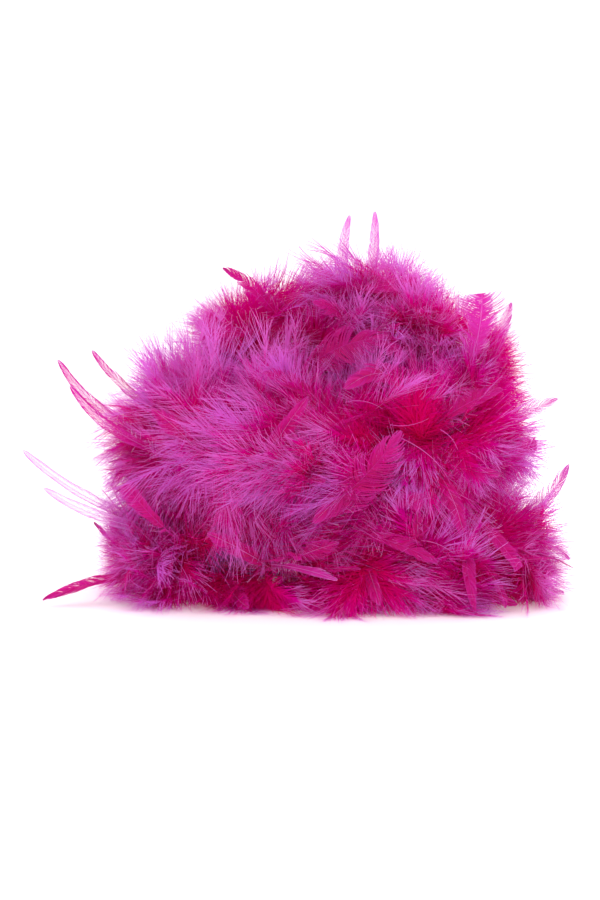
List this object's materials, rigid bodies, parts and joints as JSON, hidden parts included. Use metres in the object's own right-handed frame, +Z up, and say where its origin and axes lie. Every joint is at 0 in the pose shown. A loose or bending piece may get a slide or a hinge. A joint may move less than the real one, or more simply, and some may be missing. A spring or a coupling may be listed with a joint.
{
  "type": "feather boa",
  "caption": "Feather boa lying in a loose heap: a twisted cord dressed with fluffy down and longer bladed feathers, with a knot and hanging loop at each end.",
  "frame": {"origin": "on the surface that the heap lies on, under the middle of the overall box", "axes": "+X along the heap's width, to the right as seen from the front; -Y towards the front; +Z up"},
  "size_m": [0.4391, 0.3093, 0.307],
  "materials": {
    "cord": "matte",
    "thread": "satin",
    "down": "matte",
    "blade_feather": "satin"
  },
  "bodies": {
    "heap": {"core_cord": "cord", "down_stretch_02": "down", "down_stretch_03": "down", "down_stretch_04": "down", "down_stretch_05": "down", "down_stretch_06": "down", "down_stretch_07": "down", "down_stretch_08": "down", "down_stretch_09": "down", "down_stretch_10": "down", "down_stretch_11": "down", "down_stretch_12": "down", "down_stretch_13": "down", "bladed_feathers_02": "blade_feather", "bladed_feathers_03": "blade_feather", "bladed_feathers_04": "blade_feather", "bladed_feathers_05": "blade_feather", "bladed_feathers_06": "blade_feather", "bladed_feathers_07": "blade_feather", "bladed_feathers_08": "blade_feather", "bladed_feathers_09": "blade_feather", "bladed_feathers_10": "blade_feather", "bladed_feathers_11": "blade_feather", "bladed_feathers_12": "blade_feather", "bladed_feathers_13": "blade_feather", "left_spike_feathers": "blade_feather", "left_wisp_feathers": "blade_feather", "low_left_feather": "blade_feather", "fan_feather": "blade_feather", "right_quill_feather": "blade_feather", "right_tuft_feathers": "blade_feather", "front_blade_feathers": "blade_feather", "front_low_feathers": "blade_feather", "back_stray_feathers": "blade_feather"},
    "top_end": {"core_cord_top_end": "cord", "top_knot": "cord", "top_hanging_loop": "cord", "top_thread_binding": "thread", "down_stretch_14": "down", "bladed_feathers_14": "blade_feather", "crown_feathers": "blade_feather", "upper_left_feather": "blade_feather"},
    "base_end": {"core_cord_base_end": "cord", "base_knot": "cord", "base_hanging_loop": "cord", "base_thread_binding": "thread", "down_stretch_01": "down", "bladed_feathers_01": "blade_feather"}
  },
  "joints": [
    {"name": "top_end_lift", "type": "hinge", "parent": "heap", "child": "top_end", "pos_m": [0.09, -0.00433, 0.19983], "axis": [0, 1, 0], "range_deg": [0, 45]},
    {"name": "base_end_swing", "type": "hinge", "parent": "heap", "child": "base_end", "pos_m": [0.071, 0.085, 0.03], "axis": [0, 0, 1], "range_deg": [0, 35]}
  ]
}
